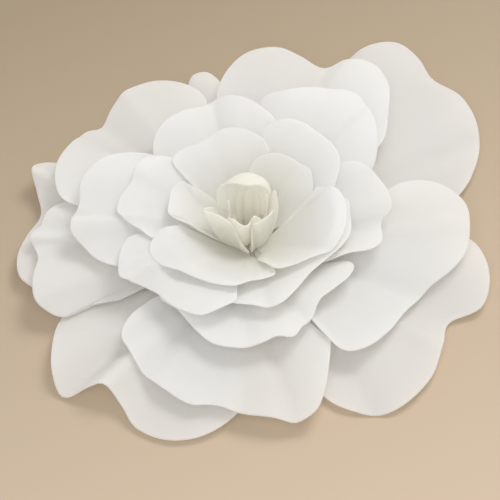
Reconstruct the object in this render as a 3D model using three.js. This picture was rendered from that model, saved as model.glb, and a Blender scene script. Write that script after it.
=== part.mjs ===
// Giant flower of soft white sheet: five rings of cut and shaped petals and a bud.
// The petals are glued by their stems, one on another, on a round backing disc.
// It lies on its back. Millimetres, +Z up, origin at the middle of the disc's underside,
// +X to the right and +Y to the back of the flower.
import * as THREE from 'three';

// How far the outermost rims reach from the middle, and about how high the bud's tip stands
const FLOWER_RADIUS = 250;
const FLOWER_HEIGHT = 100;

// The sheet that every petal is cut from, and the glue line between stacked stems
const SHEET = 2;
const GLUE_GAP = 0.3;

// The backing disc
const DISC_RADIUS = 72;
const DISC_THICKNESS = 4;
const DISC_SIDES = 48;

// The size that the rims and folds below are drawn at: they grow with the flower
const DRAWN_RADIUS = 250;
const DRAWN_HEIGHT = 100;

// Rows of points in each flat stem, and steps along each petal from its stem's end to its rim
const STEM_ROWS = 2;
const STEPS_ALONG = 5;

// The least upward part that a lying petal's normal counts with, where the petal is steepest
const FLATTEST_NORMAL = 0.4;

// The colours of the sheet, as seen on the petals and deep in the bud, and of the disc
const PETAL_COLOUR = 0xf4f1ec;
const BUD_COLOUR = 0xf5efe0;
const DISC_COLOUR = 0xe9e5dc;
const SHEET_ROUGHNESS = 0.85;

// Each ring has
//   reach    how far its rims lie from the middle, as a share of FLOWER_RADIUS
//   rise     how much higher they lie than those of the ring below, as a share of FLOWER_HEIGHT
//   stem     where its flat stems start and end, as shares of DISC_RADIUS
//   stemSpread  the angle that each stem spans, in degrees
//   steps    across each petal
//   arch     how early its bowl flattens towards the rims: 1 is a straight cone
// The bud's rings have, in place of the arch,
//   curl     how late its cup turns up from the stems: 1 is a straight cone
// Some of the bud's petals have
//   stemBearing  where the stem points, when that isn't the middle of its rim, in degrees
//   curl     a curl of their own, which takes the place of the ring's
//   lean     how near the rim they bend in or out to it: 1 is evenly, more makes a hood
// Each rim point of a petal is its bearing from +X in degrees, then how much it lies
// beyond the ring's reach and above the ring's bowl there, in millimetres as drawn.
// Each fold is a straight crease from the stem: the share of the rim where it runs out,
// its height in millimetres as drawn (a valley is negative) and its half width as a share
// of the rim.
const RINGS = [
  {
    name: 'outer',
    reach: 1,
    rise: 0.16,
    stem: [0.17, 0.92],
    stemSpread: 42,
    steps: 18,
    arch: 1.5,
    petals: [
      {
        name: 'back_right',
        rim: [[8, -45, -4], [18, 2, -2], [28, 37, 7], [38, 51, 8], [47, 52, -1], [52, 62, 5],
          [58, 66, 7], [64, 41, 6], [67, 5, 2], [70, -40, 0]],
        folds: [[0.28, -9, 0.04], [0.83, -8, 0.04]],
      },
      {
        name: 'back_left',
        rim: [[96, -60, 0], [99, -32, 4], [102, -22, 7], [106, -23, 6], [109, -40, 0],
          [111, -65, -2]],
        folds: [],
      },
      {
        name: 'left',
        rim: [[150, -70, -2], [157, -12, 6], [161, -5, 10], [166, -17, 1], [172, -27, -4],
          [180, -16, -1], [187, -7, 2], [193, -8, 0], [199, -30, -6]],
        folds: [[0.33, 6, 0.04]],
      },
      {
        name: 'front_left',
        rim: [[-154, -50, -8], [-152, -33, -5], [-145, -9, 5], [-139, 10, 1], [-134, 17, -13],
          [-130, -1, 0], [-126, -11, 3], [-121, -7, -4], [-116, 4, -10], [-108, 5, -10],
          [-100, -9, -8], [-92, -40, -4], [-90, -75, -4]],
        folds: [[0.44, 12, 0.04]],
      },
      {
        name: 'front_right',
        rim: [[-72, -70, -6], [-66, -26, -6], [-56, 4, -4], [-44, 3, -5], [-34, -11, -9],
          [-27, -19, -11], [-20, 6, -5], [-12, 6, 3], [-3, -10, 2], [4, -45, 0]],
        folds: [[0.22, -9, 0.05], [0.5, 9, 0.04]],
      },
    ],
  },
  {
    name: 'second',
    reach: 0.88,
    rise: 0.2,
    stem: [0.17, 0.78],
    stemSpread: 42,
    steps: 18,
    arch: 1.5,
    petals: [
      {
        name: 'back',
        rim: [[35, -70, 4], [38, -34, 4], [44, -8, 7], [50, 20, 11], [57, 33, 15], [64, 28, 13],
          [70, 15, 4], [76, 15, 11], [82, 17, 16], [90, 8, 15], [96, -12, 12], [101, -40, 8],
          [102, -70, 4]],
        folds: [[0.5, -10, 0.05]],
      },
      {
        name: 'back_left',
        rim: [[105, -42, 4], [107, -30, 6], [112, -16, 9], [119, -4, 10], [127, 0, 8], [134, -5, 3],
          [140, -11, -3], [145, -2, 4], [152, -2, 8], [159, -2, 8], [165, -8, 6], [171, -22, 6],
          [174, -60, 8]],
        folds: [[0.33, 5, 0.04], [0.56, -8, 0.04]],
      },
      {
        name: 'left',
        rim: [[167, -60, -8], [169, -25, -8], [174, -8, -2], [180, 1, 1], [184, 8, 0],
          [185.5, 5, -8], [190, 1, -5], [197, 11, 0], [203, 16, -3], [206, 10, -10], [209, -3, -16],
          [209, -35, -16], [212, -64, -12]],
        folds: [[0.28, -11, 0.035]],
      },
      {
        name: 'front',
        rim: [[-138, -90, 2], [-137, -56, 0], [-134, -36, -4], [-127, -25, 0], [-120, -15, -4],
          [-112, -7, -9], [-105, -1, -11], [-99, -6, -9], [-92, 1, -13], [-84, 8, -10],
          [-78, 14, -11], [-73, 9, -10], [-69, -8, -7], [-64, -35, -3], [-59, -58, -3]],
        folds: [[0.28, -10, 0.035], [0.5, -5, 0.035], [0.72, -8, 0.035]],
      },
      {
        name: 'right',
        rim: [[-61, -90, 6], [-60, -62, 4], [-58, -38, 0], [-52, -30, -3], [-42, -29, -6],
          [-32, -30, -6], [-22, -22, -6], [-14, -2, -4], [-8, 9, -2], [0, 11, 0], [6, 9, 4],
          [12, -9, 10], [16, -34, 12], [17, -54, 12]],
        folds: [[0.44, -10, 0.05], [0.72, 9, 0.05]],
      },
    ],
  },
  {
    name: 'third',
    reach: 0.64,
    rise: 0.2,
    stem: [0.17, 0.64],
    stemSpread: 42,
    steps: 16,
    arch: 1.3,
    petals: [
      {
        name: 'back_right',
        rim: [[25, -32, -8], [25, -16, -2], [31, 0, 4], [37, 12, 8], [43, 23, 10], [51, 35, 10],
          [56, 34, 9], [61, 26, 8], [66, 19, 10], [75, 5, 11], [84, -2, 0], [87, -17, -8]],
        folds: [[0.44, -8, 0.04]],
      },
      {
        name: 'back_left',
        rim: [[76, -50, 8], [77, -32, 10], [82, -24, 12], [89, -15, 14], [95, -11, 16],
          [103, -7, 11], [110, -10, 7], [119, -10, 10], [128, -11, 6], [135, -17, 0],
          [140, -28, -4]],
        folds: [[0.5, -5, 0.04]],
      },
      {
        name: 'left',
        rim: [[140, -45, 6], [142, -32, 6], [149, -7, 3], [156, 9, 5], [162, 15, 6], [168, 20, 2],
          [174, 17, -4], [179, 18, -2], [184, 22, 2], [188, 24, 1], [192, 15, -6], [198, 3, -12],
          [203, -15, -12], [204, -40, -12]],
        folds: [[0.62, 7, 0.035]],
      },
      {
        name: 'front',
        rim: [[-134, -40, -2], [-132, -27, -4], [-122, -26, -4], [-112, -15, -9], [-103, -4, -13],
          [-93, -2, -10], [-85, -5, -7], [-79, -10, -5], [-73, -5, -5], [-67, -18, -5],
          [-62, -23, -4], [-54, -36, 0], [-45, -37, -1], [-34, -35, -3], [-27, -38, -5],
          [-24, -50, -8], [-27, -68, -10]],
        folds: [[0.38, -4, 0.035], [0.62, -7, 0.035]],
      },
      {
        name: 'right',
        rim: [[-42, -85, 6], [-32, -66, 6], [-22, -47, 4], [-17, -28, -2], [-11, -19, -5],
          [-1, -21, -1], [2, -12, 2], [7, -11, 8], [15, -16, 10], [25, -21, 9], [31, -29, 9],
          [35, -40, 9]],
        folds: [[0.5, -7, 0.05]],
      },
    ],
  },
  {
    name: 'fourth',
    reach: 0.48,
    rise: 0.04,
    stem: [0.17, 0.5],
    stemSpread: 50,
    steps: 14,
    arch: 1.1,
    petals: [
      {
        name: 'back_right',
        rim: [[20, -24, 8], [32, -6, 10], [42, 0, 10], [54, 2, 10], [61, 2, 14], [70, 0, 14],
          [78, -7, 10], [83, -17, 5], [84, -34, 1]],
        folds: [],
      },
      {
        name: 'back_left',
        rim: [[74, -36, 18], [80, -25, 15], [88, -19, 15], [96, -16, 17], [105, -15, 17],
          [113, -17, 13], [121, -18, 11], [131, -13, 7], [139, -14, 4], [141, -35, 4]],
        folds: [],
      },
      {
        name: 'left',
        rim: [[136, -10, -4], [142, -1, 0], [149, 7, 5], [156, 10, 4], [162, 9, -2], [173, 15, -2],
          [181, 15, -3], [184, 9, -6], [190, -6, -2], [197, -16, 3], [199, -40, 6]],
        folds: [[0.64, 7, 0.04]],
      },
      {
        name: 'front_left',
        rim: [[190.5, -4, -10], [194, 8, -7], [202, 21, -3], [208, 29, -3], [212, 32, -9],
          [218, 20, -12], [226, 13, -12], [235, 16, -9], [242, 17, -6], [250, 16, -3], [257, 4, -1],
          [264, -10, 0]],
        folds: [[0.36, 6, 0.04]],
      },
      {
        name: 'front_right',
        rim: [[-106, -45, -10], [-103, -18, -10], [-96, -12, -6], [-88, -8, -2], [-80, -1, 2],
          [-74, 0, 3], [-63, -12, 4], [-49, -23, 5], [-34, -23, 2], [-23, -17, 0], [-12, -12, -2],
          [0, -14, 0], [11, -15, 1], [13, -40, -4]],
        folds: [[0.28, -7, 0.04]],
      },
    ],
  },
  {
    name: 'fifth',
    reach: 0.36,
    rise: 0.02,
    stem: [0.17, 0.36],
    stemSpread: 64,
    steps: 12,
    arch: 1,
    petals: [
      {
        name: 'back_right',
        rim: [[14, -45, -4], [20, -24, -2], [27, -14, 6], [37, -9, 12], [46, -11, 13],
          [53, -14, 19], [63, -17, 24], [73, -21, 25], [83, -26, 23], [89, -35, 21]],
        folds: [],
      },
      {
        name: 'left',
        rim: [[144, -47, 18], [150, -31, 18], [152, -19, 14], [153, -11, 10], [160, -6, 4],
          [170, -7, 1], [181, -8, 2], [187, -24, 11], [197, -34, 15]],
        folds: [],
      },
      {
        name: 'front_left',
        rim: [[185.5, -19, -4], [193, 0, -6], [200, 14, -4], [206, 22, -4], [213, 22, -8],
          [222, 14, -10], [236, 6, -10], [249, 4, -8], [262, 2, -6], [271, -5, -3], [280, -10, -5],
          [291, -14, -5], [297, -36, -5]],
        folds: [[0.42, 5, 0.05]],
      },
      {
        name: 'right',
        rim: [[-76, -50, 2], [-72, -34, 6], [-66, -16, 3], [-53, -11, 0], [-39, -3, -2],
          [-27, 8, -2], [-15, 12, 0], [-3, 12, 2], [8, 10, 2], [17, 5, 1], [22, -13, 10]],
        folds: [[0.5, -6, 0.05]],
      },
    ],
  },
];

// The bud: a ring of upright petals, and inside it a small front petal and pointed strips
const BUD_RINGS = [
  {
    name: 'bud',
    reach: 0.108,
    rise: 0.08,
    stem: [0.11, 0.25],
    stemSpread: 52,
    steps: 10,
    curl: 2.4,
    petals: [
      {
        name: 'front_left',
        stemBearing: 236,
        rim: [
          [168, -4, -36], [178, 8, -8], [187, 18, -2], [197, 8, -2], [214, 1, -4], [233, -2, -10],
          [251, 0, -24], [265, 1, -38], [273, 0, -46],
        ],
        folds: [],
      },
      {
        name: 'front_right',
        stemBearing: 302,
        rim: [
          [277, 0, -47], [277, -2, -34], [278, -7, -20], [284, -10, -12], [305, -7, -7],
          [338, -3, -4], [350, -2, -4], [355, -2, -30],
        ],
        folds: [],
      },
      {
        name: 'right',
        rim: [[0, 3, -12], [4, 3, -2], [13, 1, 12], [24, 1, 8], [29, 0, -12]],
        folds: [],
      },
      {
        name: 'back',
        curl: 0.5,
        lean: 8,
        rim: [
          [28, -5, -30], [28, -3, 6], [40, -10, 17], [62, -18, 21], [92, -21, 23], [116, -19, 22],
          [136, -10, 19], [146, -1, 15], [154, 7, 8], [159, 8, -20],
        ],
        folds: [],
      },
    ],
  },
  {
    name: 'bud_inner',
    reach: 0.056,
    rise: -0.04,
    stem: [0.055, 0.15],
    stemSpread: 40,
    steps: 8,
    curl: 4,
    petals: [
      {
        name: 'front',
        rim: [
          [205, 8, -6], [232, 8, 1], [254, 8, -3], [267, 5, -6], [279, -1, -7], [298, -1, 0],
          [320, 3, -6],
        ],
        folds: [],
      },
      {
        name: 'strip_far_left',
        stemBearing: 190,
        rim: [[170, 4, 2], [182, 5, 11], [194, 5, 2]],
        folds: [],
      },
      {
        name: 'strip_left',
        stemBearing: 140,
        rim: [[116, -1, 0], [136, -3, 14], [156, -1, 0]],
        folds: [],
      },
      {
        name: 'strip_middle',
        stemBearing: 90,
        rim: [[66, -5, 2], [92, -6, 17], [114, -5, 2]],
        folds: [],
      },
      {
        name: 'strip_right',
        stemBearing: 45,
        rim: [[30, -1, 2], [44, -3, 16], [58, -1, 2]],
        folds: [],
      },
      {
        name: 'strip_far_right',
        stemBearing: 0,
        rim: [[2, 5, 2], [14, 5, 14], [24, 5, 2]],
        folds: [],
      },
    ],
  },
];

const radians = THREE.MathUtils.degToRad;
const planScale = FLOWER_RADIUS / DRAWN_RADIUS;
const heightScale = FLOWER_HEIGHT / DRAWN_HEIGHT;

// A point from its bearing in degrees, its distance from the middle and its height
function polar(bearing, distance, height) {
  const angle = radians(bearing);
  return new THREE.Vector3(distance * Math.cos(angle), distance * Math.sin(angle), height);
}

// The underside of the sheet at a point: straight below it in a stem or a petal that lies,
// and straight behind it in one that stands, a sheet away from the face in each
function below(point, depth) {
  return new THREE.Vector3(point.x, point.y, point.z - depth);
}

function lyingUnderside(point, normal) {
  return below(point, SHEET / Math.max(normal.z, FLATTEST_NORMAL));
}

function uprightUnderside(point, normal) {
  return point.clone().addScaledVector(normal, -SHEET);
}

// A grid of points becomes one closed sheet: a top face, an underside and four edges
function sheetBody(grid, undersideAt) {
  const rows = grid.length;
  const columns = grid[0].length;
  const top = new THREE.BufferGeometry().setFromPoints(grid.flat());
  const faces = [];
  for (let row = 0; row < rows - 1; row += 1) {
    for (let column = 0; column < columns - 1; column += 1) {
      const corner = row * columns + column;
      faces.push(corner, corner + columns, corner + 1);
      faces.push(corner + 1, corner + columns, corner + columns + 1);
    }
  }
  top.setIndex(faces);
  top.computeVertexNormals();

  const points = grid.flat();
  const normals = top.getAttribute('normal');
  const underside = points.map((point, index) => {
    const normal = new THREE.Vector3().fromBufferAttribute(normals, index);
    return index < STEM_ROWS * columns ? below(point, SHEET) : undersideAt(point, normal);
  });
  const count = points.length;
  const all = [...faces];
  for (let index = 0; index < faces.length; index += 3) {
    all.push(faces[index] + count, faces[index + 2] + count, faces[index + 1] + count);
  }

  const border = [];
  for (let column = 0; column < columns - 1; column += 1) border.push(column);
  for (let row = 0; row < rows - 1; row += 1) border.push(row * columns + columns - 1);
  for (let column = columns - 1; column > 0; column -= 1) border.push((rows - 1) * columns + column);
  for (let row = rows - 1; row > 0; row -= 1) border.push(row * columns);
  border.forEach((here, index) => {
    const next = border[(index + 1) % border.length];
    all.push(here, next, here + count);
    all.push(next, next + count, here + count);
  });

  const body = new THREE.BufferGeometry().setFromPoints([...points, ...underside]);
  body.setIndex(all);
  body.computeVertexNormals();
  return body;
}

// The height of a ring's bowl at a distance from the middle
function bowlHeight(ring, distance) {
  const share = THREE.MathUtils.clamp(
    (distance - ring.stemEnd) / (ring.reach - ring.stemEnd), 0, 1);
  return ring.stemHeight + (ring.rimHeight - ring.stemHeight) * (1 - (1 - share) ** ring.arch);
}

// The height that a petal's folds add at a share of the rim
function foldHeight(folds, share) {
  return folds.reduce((height, [place, depth, halfWidth]) => {
    const distance = (share - place) / halfWidth;
    return height + heightScale * depth / (1 + distance * distance);
  }, 0);
}

// The distance of an upright ring's cup from the middle, at a share of the way up to its rims
function cupDistance(ring, up) {
  return ring.stemEnd + (ring.reach - ring.stemEnd) * up ** (1 / ring.curl);
}

// A point between the stem's end and the rim of a petal that lies in its ring's bowl
function lyingPoint(ring, start, rimPoint, share) {
  const point = start.clone().lerp(rimPoint, share);
  const rimBowl = bowlHeight(ring, Math.hypot(rimPoint.x, rimPoint.y));
  point.z = bowlHeight(ring, Math.hypot(point.x, point.y)) + (rimPoint.z - rimBowl) * share;
  return point;
}

// The same for a petal that stands up in its ring's cup
function uprightPoint(ring, start, rimPoint, share) {
  const climb = ring.rimHeight - ring.stemHeight;
  const rimUp = (rimPoint.z - ring.stemHeight) / climb;
  const up = rimUp * share ** ring.curl;
  const beyond = Math.hypot(rimPoint.x, rimPoint.y) - cupDistance(ring, rimUp);
  const point = start.clone().lerp(rimPoint, share);
  const distance = cupDistance(ring, up) + beyond * share ** ring.lean;
  point.multiplyScalar(distance / Math.hypot(point.x, point.y));
  point.z = ring.stemHeight + climb * up;
  return point;
}

// The cut rim of a petal, as evenly spaced points
function rimPoints(petal, ring) {
  const points = petal.rim.map(([bearing, beyond, above]) => {
    const distance = ring.reach + beyond * planScale;
    const base = ring.curl ? ring.rimHeight : bowlHeight(ring, distance);
    return polar(bearing, distance, base + above * heightScale);
  });
  return new THREE.CatmullRomCurve3(points, false, 'centripetal').getSpacedPoints(ring.steps);
}

// A petal: a flat stem on its level of the stack, then the sheet out to the cut rim
function petalGrid(petal, ring) {
  const rim = rimPoints(petal, ring);
  const axis = petal.stemBearing ?? (petal.rim[0][0] + petal.rim.at(-1)[0]) / 2;
  const stemRow = (distance) => rim.map((_, column) => {
    const share = column / ring.steps;
    return polar(axis + (share - 0.5) * ring.stemSpread, distance, ring.stemHeight);
  });
  const grid = [];
  for (let row = 0; row < STEM_ROWS; row += 1) {
    const share = row / (STEM_ROWS - 1);
    grid.push(stemRow(THREE.MathUtils.lerp(ring.stemStart, ring.stemEnd, share)));
  }
  const stemEnd = grid.at(-1);
  const pointAt = ring.curl ? uprightPoint : lyingPoint;
  for (let step = 1; step <= STEPS_ALONG; step += 1) {
    const share = step / STEPS_ALONG;
    grid.push(rim.map((rimPoint, column) => {
      const point = pointAt(ring, stemEnd[column], rimPoint, share);
      point.z += foldHeight(petal.folds, column / ring.steps) * share;
      return point;
    }));
  }
  return grid;
}

function sheetMaterial(colour) {
  return new THREE.MeshStandardMaterial({
    color: colour,
    roughness: SHEET_ROUGHNESS,
    metalness: 0,
    side: THREE.DoubleSide,
  });
}

function addMesh(group, name, geometry, colour) {
  const mesh = new THREE.Mesh(geometry, sheetMaterial(colour));
  mesh.name = name;
  group.add(mesh);
}

function backingDisc() {
  const disc = new THREE.CylinderGeometry(DISC_RADIUS, DISC_RADIUS, DISC_THICKNESS, DISC_SIDES);
  disc.rotateX(Math.PI / 2);
  disc.translate(0, 0, DISC_THICKNESS / 2);
  return disc;
}

const flower = new THREE.Group();
addMesh(flower, 'backing_disc', backingDisc(), DISC_COLOUR);

let rimHeight = 0;
let stemHeight = DISC_THICKNESS;
for (const shape of [...RINGS, ...BUD_RINGS]) {
  rimHeight += shape.rise * FLOWER_HEIGHT;
  stemHeight += GLUE_GAP + SHEET;
  const reach = shape.reach * FLOWER_RADIUS;
  const [stemStart, stemEnd] = shape.stem.map((share) => share * DISC_RADIUS);
  const ring = { ...shape, reach, rimHeight, stemStart, stemEnd, stemHeight };
  const colour = ring.curl ? BUD_COLOUR : PETAL_COLOUR;
  const undersideAt = ring.curl ? uprightUnderside : lyingUnderside;
  for (const petal of ring.petals) {
    const shaped = { ...ring, curl: petal.curl ?? ring.curl, lean: petal.lean ?? 1 };
    const body = sheetBody(petalGrid(petal, shaped), undersideAt);
    addMesh(flower, `${ring.name}_${petal.name}`, body, colour);
  }
}

export default flower;
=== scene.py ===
import math

import bpy
import numpy as np
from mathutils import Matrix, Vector


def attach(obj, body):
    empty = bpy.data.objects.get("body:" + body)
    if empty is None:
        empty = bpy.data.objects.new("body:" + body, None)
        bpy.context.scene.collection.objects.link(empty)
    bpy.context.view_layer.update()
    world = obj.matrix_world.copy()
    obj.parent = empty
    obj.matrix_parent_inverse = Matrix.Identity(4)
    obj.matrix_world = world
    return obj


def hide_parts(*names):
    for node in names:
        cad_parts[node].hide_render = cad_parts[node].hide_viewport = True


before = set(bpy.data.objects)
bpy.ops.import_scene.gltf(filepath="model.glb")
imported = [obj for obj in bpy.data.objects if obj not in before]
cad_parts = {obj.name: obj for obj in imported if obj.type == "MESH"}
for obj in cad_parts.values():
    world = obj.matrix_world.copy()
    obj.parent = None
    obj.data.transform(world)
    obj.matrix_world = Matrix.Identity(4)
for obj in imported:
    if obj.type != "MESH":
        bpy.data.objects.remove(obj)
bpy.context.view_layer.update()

METRES = 0.001

# How far the outermost rims reach from the middle, and about how high the bud's tip stands
FLOWER_RADIUS = 250
FLOWER_HEIGHT = 100

# The sheet that every petal is cut from, the glue line between stacked stems, and the disc
SHEET = 2
GLUE_GAP = 0.3
DISC_RADIUS = 72
DISC_THICKNESS = 4

# Steps across each petal and along it, and rows in its flat stem
COLUMNS = 72
ROWS = 26
STEM_ROWS = 3

# Steps between two rim points, the share of a petal that its fine edge step takes, and how
# far the rounded edge stands out
PATH_STEPS = 24
EDGE_SHARE = 0.006
EDGE_BULGE = 0.6
DISC_SIDES = 96

# The least upward part that a lying petal's normal counts with, where the petal is steepest
FLATTEST_NORMAL = 0.4

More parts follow.
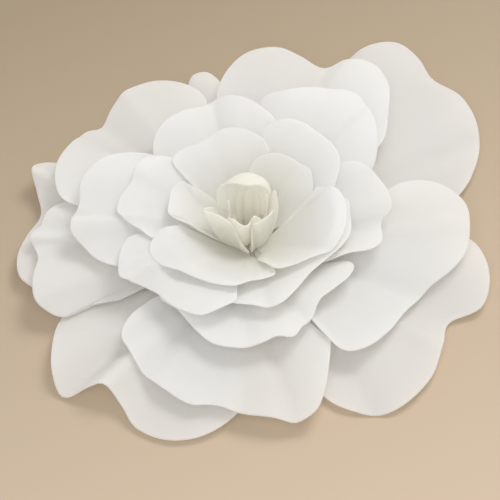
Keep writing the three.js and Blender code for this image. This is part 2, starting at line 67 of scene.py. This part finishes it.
# Each ring has
#   reach    how far its rims lie from the middle, as a share of FLOWER_RADIUS
#   rise     how much higher they lie than those of the ring below, as a share of FLOWER_HEIGHT
#   stem     where its flat stems start and end, as shares of DISC_RADIUS
#   stem_spread  the angle that each stem spans, in degrees
#   arch     how early its bowl flattens towards the rims: 1 is a straight cone
# The bud's rings have, in place of the arch,
#   curl     how late its cup turns up from the stems: 1 is a straight cone
# Some of the bud's petals have
#   stem_bearing  where the stem points, when that isn't the middle of its rim, in degrees
#   curl     a curl of their own, which takes the place of the ring's
#   lean     how near the rim they bend in or out to it: 1 is evenly, more makes a hood
# Each rim point of a petal is its bearing from +X in degrees, then how much it lies
# beyond the ring's reach and above the ring's bowl there, in millimetres.
# Each fold is a soft crease from the stem: the share of the rim where it runs out,
# its height in millimetres (a valley is negative) and its half width as a share of the rim.
RINGS = [
    {
        "name": "outer", "reach": 1, "rise": 0.16,
        "stem": (0.17, 0.92), "stem_spread": 42,
        "arch": 1.5,
        "petals": [
            {
                "name": "back_right",
                "rim": [(8, -45, -4), (18, 2, -2), (28, 37, 7), (38, 51, 8), (47, 52, -1),
                    (52, 62, 5), (58, 66, 7), (64, 41, 6), (67, 5, 2), (70, -40, 0)],
                "folds": [(0.28, -9, 0.04), (0.83, -8, 0.04)],
            },
            {
                "name": "back_left",
                "rim": [(96, -60, 0), (99, -32, 4), (102, -22, 7), (106, -23, 6), (109, -40, 0),
                    (111, -65, -2)],
                "folds": [],
            },
            {
                "name": "left",
                "rim": [(150, -70, -2), (157, -12, 6), (161, -5, 10), (166, -17, 1), (172, -27, -4),
                    (180, -16, -1), (187, -7, 2), (193, -8, 0), (199, -30, -6)],
                "folds": [(0.33, 6, 0.04)],
            },
            {
                "name": "front_left",
                "rim": [(-154, -50, -8), (-152, -33, -5), (-145, -9, 5), (-139, 10, 1),
                    (-134, 17, -13), (-130, -1, 0), (-126, -11, 3), (-121, -7, -4), (-116, 4, -10),
                    (-108, 5, -10), (-100, -9, -8), (-92, -40, -4), (-90, -75, -4)],
                "folds": [(0.44, 12, 0.04)],
            },
            {
                "name": "front_right",
                "rim": [(-72, -70, -6), (-66, -26, -6), (-56, 4, -4), (-44, 3, -5), (-34, -11, -9),
                    (-27, -19, -11), (-20, 6, -5), (-12, 6, 3), (-3, -10, 2), (4, -45, 0)],
                "folds": [(0.22, -9, 0.05), (0.5, 9, 0.04)],
            },
        ],
    },
    {
        "name": "second", "reach": 0.88, "rise": 0.2,
        "stem": (0.17, 0.78), "stem_spread": 42,
        "arch": 1.5,
        "petals": [
            {
                "name": "back",
                "rim": [(35, -70, 4), (38, -34, 4), (44, -8, 7), (50, 20, 11), (57, 33, 15),
                    (64, 28, 13), (70, 15, 4), (76, 15, 11), (82, 17, 16), (90, 8, 15),
                    (96, -12, 12), (101, -40, 8), (102, -70, 4)],
                "folds": [(0.5, -10, 0.05)],
            },
            {
                "name": "back_left",
                "rim": [(105, -42, 4), (107, -30, 6), (112, -16, 9), (119, -4, 10), (127, 0, 8),
                    (134, -5, 3), (140, -11, -3), (145, -2, 4), (152, -2, 8), (159, -2, 8),
                    (165, -8, 6), (171, -22, 6), (174, -60, 8)],
                "folds": [(0.33, 5, 0.04), (0.56, -8, 0.04)],
            },
            {
                "name": "left",
                "rim": [(167, -60, -8), (169, -25, -8), (174, -8, -2), (180, 1, 1), (184, 8, 0),
                    (185.5, 5, -8), (190, 1, -5), (197, 11, 0), (203, 16, -3), (206, 10, -10),
                    (209, -3, -16), (209, -35, -16), (212, -64, -12)],
                "folds": [(0.28, -11, 0.035)],
            },
            {
                "name": "front",
                "rim": [(-138, -90, 2), (-137, -56, 0), (-134, -36, -4), (-127, -25, 0),
                    (-120, -15, -4), (-112, -7, -9), (-105, -1, -11), (-99, -6, -9), (-92, 1, -13),
                    (-84, 8, -10), (-78, 14, -11), (-73, 9, -10), (-69, -8, -7), (-64, -35, -3),
                    (-59, -58, -3)],
                "folds": [(0.28, -10, 0.035), (0.5, -5, 0.035), (0.72, -8, 0.035)],
            },
            {
                "name": "right",
                "rim": [(-61, -90, 6), (-60, -62, 4), (-58, -38, 0), (-52, -30, -3), (-42, -29, -6),
                    (-32, -30, -6), (-22, -22, -6), (-14, -2, -4), (-8, 9, -2), (0, 11, 0),
                    (6, 9, 4), (12, -9, 10), (16, -34, 12), (17, -54, 12)],
                "folds": [(0.44, -10, 0.05), (0.72, 9, 0.05)],
            },
        ],
    },
    {
        "name": "third", "reach": 0.64, "rise": 0.2,
        "stem": (0.17, 0.64), "stem_spread": 42,
        "arch": 1.3,
        "petals": [
            {
                "name": "back_right",
                "rim": [(25, -32, -8), (25, -16, -2), (31, 0, 4), (37, 12, 8), (43, 23, 10),
                    (51, 35, 10), (56, 34, 9), (61, 26, 8), (66, 19, 10), (75, 5, 11), (84, -2, 0),
                    (87, -17, -8)],
                "folds": [(0.44, -8, 0.04)],
            },
            {
                "name": "back_left",
                "rim": [(76, -50, 8), (77, -32, 10), (82, -24, 12), (89, -15, 14), (95, -11, 16),
                    (103, -7, 11), (110, -10, 7), (119, -10, 10), (128, -11, 6), (135, -17, 0),
                    (140, -28, -4)],
                "folds": [(0.5, -5, 0.04)],
            },
            {
                "name": "left",
                "rim": [(140, -45, 6), (142, -32, 6), (149, -7, 3), (156, 9, 5), (162, 15, 6),
                    (168, 20, 2), (174, 17, -4), (179, 18, -2), (184, 22, 2), (188, 24, 1),
                    (192, 15, -6), (198, 3, -12), (203, -15, -12), (204, -40, -12)],
                "folds": [(0.62, 7, 0.035)],
            },
            {
                "name": "front",
                "rim": [(-134, -40, -2), (-132, -27, -4), (-122, -26, -4), (-112, -15, -9),
                    (-103, -4, -13), (-93, -2, -10), (-85, -5, -7), (-79, -10, -5), (-73, -5, -5),
                    (-67, -18, -5), (-62, -23, -4), (-54, -36, 0), (-45, -37, -1), (-34, -35, -3),
                    (-27, -38, -5), (-24, -50, -8), (-27, -68, -10)],
                "folds": [(0.38, -4, 0.035), (0.62, -7, 0.035)],
            },
            {
                "name": "right",
                "rim": [(-42, -85, 6), (-32, -66, 6), (-22, -47, 4), (-17, -28, -2), (-11, -19, -5),
                    (-1, -21, -1), (2, -12, 2), (7, -11, 8), (15, -16, 10), (25, -21, 9),
                    (31, -29, 9), (35, -40, 9)],
                "folds": [(0.5, -7, 0.05)],
            },
        ],
    },
    {
        "name": "fourth", "reach": 0.48, "rise": 0.04,
        "stem": (0.17, 0.5), "stem_spread": 50,
        "arch": 1.1,
        "petals": [
            {
                "name": "back_right",
                "rim": [(20, -24, 8), (32, -6, 10), (42, 0, 10), (54, 2, 10), (61, 2, 14),
                    (70, 0, 14), (78, -7, 10), (83, -17, 5), (84, -34, 1)],
                "folds": [],
            },
            {
                "name": "back_left",
                "rim": [(74, -36, 18), (80, -25, 15), (88, -19, 15), (96, -16, 17), (105, -15, 17),
                    (113, -17, 13), (121, -18, 11), (131, -13, 7), (139, -14, 4), (141, -35, 4)],
                "folds": [],
            },
            {
                "name": "left",
                "rim": [(136, -10, -4), (142, -1, 0), (149, 7, 5), (156, 10, 4), (162, 9, -2),
                    (173, 15, -2), (181, 15, -3), (184, 9, -6), (190, -6, -2), (197, -16, 3),
                    (199, -40, 6)],
                "folds": [(0.64, 7, 0.04)],
            },
            {
                "name": "front_left",
                "rim": [(190.5, -4, -10), (194, 8, -7), (202, 21, -3), (208, 29, -3), (212, 32, -9),
                    (218, 20, -12), (226, 13, -12), (235, 16, -9), (242, 17, -6), (250, 16, -3),
                    (257, 4, -1), (264, -10, 0)],
                "folds": [(0.36, 6, 0.04)],
            },
            {
                "name": "front_right",
                "rim": [(-106, -45, -10), (-103, -18, -10), (-96, -12, -6), (-88, -8, -2),
                    (-80, -1, 2), (-74, 0, 3), (-63, -12, 4), (-49, -23, 5), (-34, -23, 2),
                    (-23, -17, 0), (-12, -12, -2), (0, -14, 0), (11, -15, 1), (13, -40, -4)],
                "folds": [(0.28, -7, 0.04)],
            },
        ],
    },
    {
        "name": "fifth", "reach": 0.36, "rise": 0.02,
        "stem": (0.17, 0.36), "stem_spread": 64,
        "arch": 1,
        "petals": [
            {
                "name": "back_right",
                "rim": [(14, -45, -4), (20, -24, -2), (27, -14, 6), (37, -9, 12), (46, -11, 13),
                    (53, -14, 19), (63, -17, 24), (73, -21, 25), (83, -26, 23), (89, -35, 21)],
                "folds": [],
            },
            {
                "name": "left",
                "rim": [(144, -47, 18), (150, -31, 18), (152, -19, 14), (153, -11, 10),
                    (160, -6, 4), (170, -7, 1), (181, -8, 2), (187, -24, 11), (197, -34, 15)],
                "folds": [],
            },
            {
                "name": "front_left",
                "rim": [(185.5, -19, -4), (193, 0, -6), (200, 14, -4), (206, 22, -4), (213, 22, -8),
                    (222, 14, -10), (236, 6, -10), (249, 4, -8), (262, 2, -6), (271, -5, -3),
                    (280, -10, -5), (291, -14, -5), (297, -36, -5)],
                "folds": [(0.42, 5, 0.05)],
            },
            {
                "name": "right",
                "rim": [(-76, -50, 2), (-72, -34, 6), (-66, -16, 3), (-53, -11, 0), (-39, -3, -2),
                    (-27, 8, -2), (-15, 12, 0), (-3, 12, 2), (8, 10, 2), (17, 5, 1), (22, -13, 10)],
                "folds": [(0.5, -6, 0.05)],
            },
        ],
    },
]

# The bud: a ring of upright petals, and inside it a small front petal and pointed strips
BUD_RINGS = [
    {
        "name": "bud", "reach": 0.108, "rise": 0.08,
        "stem": (0.11, 0.25), "stem_spread": 52,
        "curl": 2.4,
        "petals": [
            {
                "name": "front_left",
                "stem_bearing": 236,
                "rim": [(168, -4, -36), (178, 8, -8), (187, 18, -2), (197, 8, -2), (214, 1, -4),
                    (233, -2, -10), (251, 0, -24), (265, 1, -38), (273, 0, -46)],
                "folds": [],
            },
            {
                "name": "front_right",
                "stem_bearing": 302,
                "rim": [(277, 0, -47), (277, -2, -34), (278, -7, -20), (284, -10, -12),
                    (305, -7, -7), (338, -3, -4), (350, -2, -4), (355, -2, -30)],
                "folds": [],
            },
            {
                "name": "right",
                "rim": [(0, 3, -12), (4, 3, -2), (13, 1, 12), (24, 1, 8), (29, 0, -12)],
                "folds": [],
            },
            {
                "name": "back",
                "curl": 0.5,
                "lean": 8,
                "rim": [(28, -5, -30), (28, -3, 6), (40, -10, 17), (62, -18, 21), (92, -21, 23),
                    (116, -19, 22), (136, -10, 19), (146, -1, 15), (154, 7, 8), (159, 8, -20)],
                "folds": [],
            },
        ],
    },
    {
        "name": "bud_inner", "reach": 0.056, "rise": -0.04,
        "stem": (0.055, 0.15), "stem_spread": 40,
        "curl": 4,
        "petals": [
            {
                "name": "front",
                "rim": [(205, 8, -6), (232, 8, 1), (254, 8, -3), (267, 5, -6), (279, -1, -7),
                    (298, -1, 0), (320, 3, -6)],
                "folds": [],
            },
            {
                "name": "strip_far_left",
                "stem_bearing": 190,
                "rim": [(170, 4, 2), (182, 5, 11), (194, 5, 2)],
                "folds": [],
            },
            {
                "name": "strip_left",
                "stem_bearing": 140,
                "rim": [(116, -1, 0), (136, -3, 14), (156, -1, 0)],
                "folds": [],
            },
            {
                "name": "strip_middle",
                "stem_bearing": 90,
                "rim": [(66, -5, 2), (92, -6, 17), (114, -5, 2)],
                "folds": [],
            },
            {
                "name": "strip_right",
                "stem_bearing": 45,
                "rim": [(30, -1, 2), (44, -3, 16), (58, -1, 2)],
                "folds": [],
            },
            {
                "name": "strip_far_right",
                "stem_bearing": 0,
                "rim": [(2, 5, 2), (14, 5, 14), (24, 5, 2)],
                "folds": [],
            },
        ],
    },
]

# Colours of the petals, of the painted shade near the flower's middle (a cream for the shade of the
# deep middle, which the mottling also adds), of the bud, and of the card
PETAL_COLOUR = (0.982, 0.979, 0.971)
PAINTED_SHADE_AND_MOTTLE_COLOUR = (0.988, 0.976, 0.925)
# The bud's sheet: the petals' white, made a little creamier as painted shade of the deep middle
# where the bud stands
BUD_SHEET_AND_PAINTED_SHADE_COLOUR = (0.988, 0.979, 0.95)
CARD_COLOUR = (0.74, 0.70, 0.62)

# The distances from the middle, in metres, between which the painted shade colour fades out
PAINTED_SHADE_NEAR = 0.02
PAINTED_SHADE_FAR = 0.09

# How much of the cream painted shade colour the mottling adds as random tone, and the noise values
# that it lies between
MOTTLE = 0.25
MOTTLE_LOW = 0.35
MOTTLE_HIGH = 0.65

# How rough the sheet is, how little it shines, and the noise values the roughness lies between
ROUGH_LEAST = 0.72
ROUGH_MOST = 0.88
SHEET_SPECULAR = 0.3
ROUGH_LOW = 0.3
ROUGH_HIGH = 0.7

# Each noise has its scale and its detail
MOTTLE_NOISE = (14, 3)
ROUGH_NOISE = (60, 4)
GRAIN_NOISE = (900, 5)
DENT_NOISE = (22, 2)

# Each bump has its strength and its height in metres
GRAIN_BUMP = (0.25, 0.00025)
DENT_BUMP = (0.5, 0.004)

# The share of the light that the soft sheet lets through
LIGHT_THROUGH = 0.6

# The disc's broken edges
DISC_BEVEL = 0.4
DISC_BEVEL_STEPS = 2

# The floor's side in metres, and its painted light: the way along which its tone changes, how far
# from the middle the change ends, and its tones at the back left, darker as painted shade, and at
# the front right, lighter as painted light
FLOOR_SIZE = 6
FLOOR_PAINTED_LIGHT_SLOPE = (0.3, -0.95, 0)
FLOOR_PAINTED_LIGHT_REACH = 0.4
FLOOR_PAINTED_SHADE_BACK = (0.37, 0.29, 0.20)
FLOOR_PAINTED_LIGHT_FRONT = (0.63, 0.50, 0.37)
FLOOR_ROUGHNESS = 0.9
FLOOR_SPECULAR = 0.1

# The soft key lamp from the back right and the fill lamp from the front, with places and
# sizes in metres, the point that both are turned to, and the light all round
KEY_PLACE = (0.9, 1.1, 2.2)
KEY_SIZE = 1.2
KEY_POWER = 31
FILL_PLACE = (-0.2, -1.4, 2.2)
FILL_SIZE = 1.5
FILL_POWER = 17
LAMP_TARGET = (0, 0, 0.03)
WORLD_COLOUR = (0.98, 0.99, 1, 1)
WORLD_STRENGTH = 0.6

# Where the camera looks, from how far and how high, and its lens
CAMERA_TARGET = (2, -19, 16)
CAMERA_DISTANCE = 2000
CAMERA_ELEVATION = 54
CAMERA_LENS = 137.14
CAMERA_SENSOR = 36


def polar(bearing, distance, height):
    """A point from its bearing in degrees, its distance from the middle and its height."""
    angle = math.radians(bearing)
    return np.array([distance * math.cos(angle), distance * math.sin(angle), height])


def smooth_path(points):
    """A fine smooth path through points: a centripetal Catmull-Rom curve."""
    ends = [2 * points[0] - points[1], *points, 2 * points[-1] - points[-2]]
    path = []
    for before, start, end, after in zip(ends, ends[1:], ends[2:], ends[3:]):
        gaps = [math.sqrt(np.linalg.norm(b - a))
                for a, b in ((before, start), (start, end), (end, after))]
        leave = (start - before) / gaps[0] - (end - before) / (gaps[0] + gaps[1])
        leave = (leave + (end - start) / gaps[1]) * gaps[1]
        arrive = (end - start) / gaps[1] - (after - start) / (gaps[1] + gaps[2])
        arrive = (arrive + (after - end) / gaps[2]) * gaps[1]
        for t in np.arange(0, 1, 1 / PATH_STEPS):
            path.append(start * (1 - 3 * t**2 + 2 * t**3) + end * (3 * t**2 - 2 * t**3)
                        + leave * (t - 2 * t**2 + t**3) + arrive * (t**3 - t**2))
    path.append(points[-1])
    return np.array(path)


def path_points(path, shares):
    """Points at shares of a path's length."""
    steps = np.linalg.norm(np.diff(path, axis=0), axis=1)
    lengths = np.concatenate([[0], np.cumsum(steps)])
    return np.stack([np.interp(shares * lengths[-1], lengths, axis) for axis in path.T], 1)


def bowl_height(ring, distance):
    """The height of a ring's bowl at a distance from the middle."""
    share = np.clip((distance - ring["stem_end"]) / (ring["reach"] - ring["stem_end"]), 0, 1)
    climb = ring["rim_height"] - ring["stem_height"]
    return ring["stem_height"] + climb * (1 - (1 - share) ** ring["arch"])


def cup_distance(ring, up):
    """The distance of an upright ring's cup from the middle, at a share of the way up."""
    return ring["stem_end"] + (ring["reach"] - ring["stem_end"]) * up ** (1 / ring["curl"])


def plan_distance(points):
    return np.hypot(points[:, 0], points[:, 1])


def fold_height(folds, across):
    """The height that a petal's folds add at shares of its rim."""
    height = np.zeros_like(across)
    for place, depth, half_width in folds:
        height += depth / (1 + ((across - place) / half_width) ** 2)
    return height


def lying_row(ring, start, rim, share):
    """A row of points between the stem's end and the rim of a petal that lies in its bowl."""
    row = start + (rim - start) * share
    beyond = rim[:, 2] - bowl_height(ring, plan_distance(rim))
    row[:, 2] = bowl_height(ring, plan_distance(row)) + beyond * share
    return row


def upright_row(ring, start, rim, share):
    """The same for a petal that stands up in its ring's cup."""
    climb = ring["rim_height"] - ring["stem_height"]
    rim_up = (rim[:, 2] - ring["stem_height"]) / climb
    up = rim_up * share ** ring["curl"]
    beyond = plan_distance(rim) - cup_distance(ring, rim_up)
    row = start + (rim - start) * share
    distance = cup_distance(ring, up) + beyond * share ** ring["lean"]
    row[:, :2] *= (distance / plan_distance(row))[:, None]
    row[:, 2] = ring["stem_height"] + climb * up
    return row


def rim_path(petal, ring):
    """The cut rim of a petal, as a fine path."""
    points = []
    for bearing, beyond, above in petal["rim"]:
        distance = ring["reach"] + beyond
        upright = "curl" in ring
        base = ring["rim_height"] if upright else bowl_height(ring, distance)
        points.append(polar(bearing, distance, base + above))
    return smooth_path(points)


def edged_shares(count, first_edge, last_edge):
    """Even shares from 0 to 1, with one more close to the ends that are named."""
    shares = list(np.linspace(0, 1, count + 1))
    if first_edge:
        shares.insert(1, EDGE_SHARE)
    if last_edge:
        shares.insert(-1, 1 - EDGE_SHARE)
    return np.array(shares)


def petal_grid(petal, ring):
    """The upper face of a petal: flat stem rows, then rows out to the cut rim."""
    across = edged_shares(COLUMNS, True, True)
    rim = path_points(rim_path(petal, ring), across)
    bearings = [point[0] for point in petal["rim"]]
    axis = petal.get("stem_bearing", (bearings[0] + bearings[-1]) / 2)
    stem = [axis + (share - 0.5) * ring["stem_spread"] for share in across]
    rows = [np.array([polar(bearing, distance, ring["stem_height"]) for bearing in stem])
            for distance in np.linspace(ring["stem_start"], ring["stem_end"], STEM_ROWS)]
    start = rows[-1]
    row_at = upright_row if "curl" in ring else lying_row
    for share in edged_shares(ROWS, False, True)[1:]:
        row = row_at(ring, start, rim, share)
        row[:, 2] += fold_height(petal["folds"], across) * share
        rows.append(row)
    return np.array(rows)


def grid_normals(grid):
    """The upward or inward normal at each point of a grid."""
    normals = np.cross(np.gradient(grid, axis=0), np.gradient(grid, axis=1))
    return normals / np.linalg.norm(normals, axis=2, keepdims=True)


def underside(grid, upright):
    """The lower face of the sheet, a sheet's thickness away from the upper one."""
    normals = grid_normals(grid)
    down = np.array([0, 0, -1])
    if upright:
        lower = grid - SHEET * normals
    else:
        lower = grid + down * (SHEET / np.maximum(normals[:, :, 2:], FLATTEST_NORMAL))
    lower[:STEM_ROWS] = grid[:STEM_ROWS] + SHEET * down
    return lower


def border(rows, columns):
    """The grid places round the border, in order."""
    return ([(0, column) for column in range(columns - 1)]
            + [(row, columns - 1) for row in range(rows - 1)]
            + [(rows - 1, column) for column in range(columns - 1, 0, -1)]
            + [(row, 0) for row in range(rows - 1, 0, -1)])


def sheet_mesh(name, grid, upright):
    """A closed sheet from its upper face: both faces and a rounded edge."""
    rows, columns = grid.shape[:2]
    lower = underside(grid, upright)
    count = rows * columns
    place = np.arange(count).reshape(rows, columns)
    corners = [place[:-1, :-1], place[1:, :-1], place[1:, 1:], place[:-1, 1:]]
    upper_faces = np.stack([corner.ravel() for corner in corners], 1)
    faces = upper_faces.tolist() + (upper_faces[:, ::-1] + count).tolist()

    edge = border(rows, columns)
    top = np.array([grid[spot] for spot in edge])
    bottom = np.array([lower[spot] for spot in edge])
    inside = np.array([grid[min(max(row, 1), rows - 2), min(max(column, 1), columns - 2)]
                       for row, column in edge])
    outward = top - inside
    outward /= np.linalg.norm(outward, axis=1, keepdims=True)
    middle = (top + bottom) / 2 + outward * EDGE_BULGE
    for index, spot in enumerate(edge):
        following = (index + 1) % len(edge)
        here, there = int(place[spot]), int(place[edge[following]])
        mid_here, mid_there = 2 * count + index, 2 * count + following
        faces.append([here, there, mid_there, mid_here])
        faces.append([mid_here, mid_there, there + count, here + count])

    points = np.concatenate([grid.reshape(-1, 3), lower.reshape(-1, 3), middle]) * METRES
    mesh = bpy.data.meshes.new(name)
    mesh.from_pydata(points.tolist(), [], faces)
    mesh.shade_smooth()
    mesh.update()
    return mesh


def surface_material(name, colour, painted_shade_and_mottle_colour):
    """Soft matt sheet: faint mottling, creamier near the middle as painted shade of the deep
    middle, fine grain, shallow dents.
    """
    material = bpy.data.materials.new(name)
    material.use_nodes = True
    tree = material.node_tree
    shader = tree.nodes["Principled BSDF"]
    shader.inputs["Specular IOR Level"].default_value = SHEET_SPECULAR
    place = tree.nodes.new("ShaderNodeTexCoord").outputs["Object"]

    mottle = add_noise(tree, place, *MOTTLE_NOISE)
    plan = tree.nodes.new("ShaderNodeVectorMath")
    plan.operation = "MULTIPLY"
    plan.inputs[1].default_value = (1, 1, 0)
    tree.links.new(place, plan.inputs[0])
    length = tree.nodes.new("ShaderNodeVectorMath")
    length.operation = "LENGTH"
    tree.links.new(plan.outputs[0], length.inputs[0])
    # Painted shade: the sheet turns cream near the flower's middle, fading out between the two
    # distances, for the shade in the deep middle
    middle_painted_shade = map_range(tree, length.outputs["Value"], PAINTED_SHADE_NEAR, PAINTED_SHADE_FAR, 1, 0)
    patch = map_range(tree, mottle, MOTTLE_LOW, MOTTLE_HIGH, 0, MOTTLE)
    painted_shade_and_mottle = tree.nodes.new("ShaderNodeMath")
    painted_shade_and_mottle.operation = "ADD"
    painted_shade_and_mottle.use_clamp = True
    tree.links.new(middle_painted_shade, painted_shade_and_mottle.inputs[0])
    tree.links.new(patch, painted_shade_and_mottle.inputs[1])
    mix = tree.nodes.new("ShaderNodeMix")
    mix.data_type = "RGBA"
    mix.inputs["A"].default_value = (*colour, 1)
    mix.inputs["B"].default_value = (*painted_shade_and_mottle_colour, 1)
    tree.links.new(painted_shade_and_mottle.outputs[0], mix.inputs["Factor"])
    tree.links.new(mix.outputs["Result"], shader.inputs["Base Color"])
    let_through(tree, shader, mix.outputs["Result"])

    rough_noise = add_noise(tree, place, *ROUGH_NOISE)
    rough = map_range(tree, rough_noise, ROUGH_LOW, ROUGH_HIGH, ROUGH_LEAST, ROUGH_MOST)
    tree.links.new(rough, shader.inputs["Roughness"])

    grain = add_noise(tree, place, *GRAIN_NOISE)
    dents = add_noise(tree, place, *DENT_NOISE)
    bump = add_bump(tree, grain, *GRAIN_BUMP, None)
    bump = add_bump(tree, dents, *DENT_BUMP, bump)
    tree.links.new(bump, shader.inputs["Normal"])
    return material


def let_through(tree, shader, colour):
    """Lets part of the light through the sheet, softly spread."""
    glow = tree.nodes.new("ShaderNodeBsdfTranslucent")
    tree.links.new(colour, glow.inputs["Color"])
    both = tree.nodes.new("ShaderNodeMixShader")
    both.inputs["Fac"].default_value = LIGHT_THROUGH
    tree.links.new(shader.outputs["BSDF"], both.inputs[1])
    tree.links.new(glow.outputs["BSDF"], both.inputs[2])
    output = tree.nodes["Material Output"]
    tree.links.new(both.outputs["Shader"], output.inputs["Surface"])


def add_noise(tree, place, scale, detail):
    noise = tree.nodes.new("ShaderNodeTexNoise")
    noise.inputs["Scale"].default_value = scale
    noise.inputs["Detail"].default_value = detail
    tree.links.new(place, noise.inputs["Vector"])
    return noise.outputs["Fac"]


def map_range(tree, value, low, high, to_low, to_high):
    node = tree.nodes.new("ShaderNodeMapRange")
    for key, number in (("From Min", low), ("From Max", high), ("To Min", to_low),
                        ("To Max", to_high)):
        node.inputs[key].default_value = number
    tree.links.new(value, node.inputs["Value"])
    return node.outputs["Result"]


def add_bump(tree, height, strength, distance, under):
    bump = tree.nodes.new("ShaderNodeBump")
    bump.inputs["Strength"].default_value = strength
    bump.inputs["Distance"].default_value = distance
    tree.links.new(height, bump.inputs["Height"])
    if under:
        tree.links.new(under, bump.inputs["Normal"])
    return bump.outputs["Normal"]


def add_piece(node, mesh, material):
    """A piece that stands for a CAD node, in that node's place."""
    piece = bpy.data.objects.new(f"sheet_{node}", mesh)
    bpy.context.collection.objects.link(piece)
    mesh.materials.append(material)
    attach(piece, "root")
    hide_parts(node)


def add_petals(petal_material, bud_material):
    """Every ring's petals, stem upon stem, from the outermost ring to the bud."""
    rim_height = 0
    stem_height = DISC_THICKNESS
    for shape in RINGS + BUD_RINGS:
        rim_height += shape["rise"] * FLOWER_HEIGHT
        stem_height += GLUE_GAP + SHEET
        ring = {**shape, "reach": shape["reach"] * FLOWER_RADIUS, "rim_height": rim_height,
                "stem_height": stem_height, "stem_start": shape["stem"][0] * DISC_RADIUS,
                "stem_end": shape["stem"][1] * DISC_RADIUS}
        upright = "curl" in ring
        material = bud_material if upright else petal_material
        for petal in ring["petals"]:
            node = f"{ring['name']}_{petal['name']}"
            shaped = {**ring, "lean": petal.get("lean", 1)}
            if "curl" in petal:
                shaped["curl"] = petal["curl"]
            mesh = sheet_mesh(node, petal_grid(petal, shaped), upright)
            add_piece(node, mesh, material)


def add_disc(material):
    """The backing disc: a plain round of card with softly broken edges."""
    bpy.ops.mesh.primitive_cylinder_add(
        vertices=DISC_SIDES, radius=DISC_RADIUS * METRES, depth=DISC_THICKNESS * METRES)
    disc = bpy.context.object
    for vertex in disc.data.vertices:
        vertex.co.z += DISC_THICKNESS * METRES / 2
    disc.name = "card_backing_disc"
    disc.data.materials.append(material)
    bevel = disc.modifiers.new("edges", "BEVEL")
    bevel.width = DISC_BEVEL * METRES
    bevel.segments = DISC_BEVEL_STEPS
    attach(disc, "root")
    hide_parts("backing_disc")


def floor_material():
    """A plain pale beige floor with painted light: darker at the back left and lighter at the front
    right.
    """
    material = bpy.data.materials.new("floor")
    material.use_nodes = True
    tree = material.node_tree
    shader = tree.nodes["Principled BSDF"]
    shader.inputs["Roughness"].default_value = FLOOR_ROUGHNESS
    shader.inputs["Specular IOR Level"].default_value = FLOOR_SPECULAR
    place = tree.nodes.new("ShaderNodeTexCoord").outputs["Object"]
    # Painted light: the floor's tone runs from painted shade at the back left to painted light at
    # the front right
    across = tree.nodes.new("ShaderNodeVectorMath")
    across.operation = "DOT_PRODUCT"
    across.inputs[1].default_value = FLOOR_PAINTED_LIGHT_SLOPE
    tree.links.new(place, across.inputs[0])
    share = map_range(tree, across.outputs["Value"], -FLOOR_PAINTED_LIGHT_REACH, FLOOR_PAINTED_LIGHT_REACH, 0, 1)
    mix = tree.nodes.new("ShaderNodeMix")
    mix.data_type = "RGBA"
    mix.inputs["A"].default_value = (*FLOOR_PAINTED_SHADE_BACK, 1)
    mix.inputs["B"].default_value = (*FLOOR_PAINTED_LIGHT_FRONT, 1)
    tree.links.new(share, mix.inputs["Factor"])
    tree.links.new(mix.outputs["Result"], shader.inputs["Base Color"])
    return material


def add_floor():
    bpy.ops.mesh.primitive_plane_add(size=FLOOR_SIZE)
    floor = bpy.context.object
    floor.name = "floor"
    floor.data.materials.append(floor_material())


def aim(item, target):
    item.rotation_mode = "QUATERNION"
    item.rotation_quaternion = (Vector(target) - item.location).to_track_quat("-Z", "Y")


def add_lamp(name, place, size, power):
    """A large soft square lamp turned to the flower."""
    lamp = bpy.data.lights.new(name, "AREA")
    lamp.shape = "SQUARE"
    lamp.size = size
    lamp.energy = power
    item = bpy.data.objects.new(name, lamp)
    item.location = place
    bpy.context.collection.objects.link(item)
    aim(item, LAMP_TARGET)


def add_light():
    world = bpy.data.worlds.new("studio")
    world.use_nodes = True
    world.node_tree.nodes["Background"].inputs["Color"].default_value = WORLD_COLOUR
    world.node_tree.nodes["Background"].inputs["Strength"].default_value = WORLD_STRENGTH
    bpy.context.scene.world = world
    add_lamp("key", KEY_PLACE, KEY_SIZE, KEY_POWER)
    add_lamp("fill", FILL_PLACE, FILL_SIZE, FILL_POWER)


def add_camera():
    target = Vector(CAMERA_TARGET) * METRES
    tilt = math.radians(CAMERA_ELEVATION)
    back = Vector((0, -math.cos(tilt), math.sin(tilt)))
    camera = bpy.data.objects.new("camera", bpy.data.cameras.new("camera"))
    camera.location = target + back * CAMERA_DISTANCE * METRES
    camera.data.lens = CAMERA_LENS
    camera.data.sensor_width = CAMERA_SENSOR
    bpy.context.collection.objects.link(camera)
    aim(camera, target)
    bpy.context.scene.camera = camera


add_camera()
add_petals(surface_material("petal_sheet", PETAL_COLOUR, PAINTED_SHADE_AND_MOTTLE_COLOUR),
           surface_material("bud_sheet", BUD_SHEET_AND_PAINTED_SHADE_COLOUR, PAINTED_SHADE_AND_MOTTLE_COLOUR))
add_disc(surface_material("backing_card", CARD_COLOUR, CARD_COLOUR))
add_floor()
add_light()
bpy.context.scene.view_settings.view_transform = "Standard"
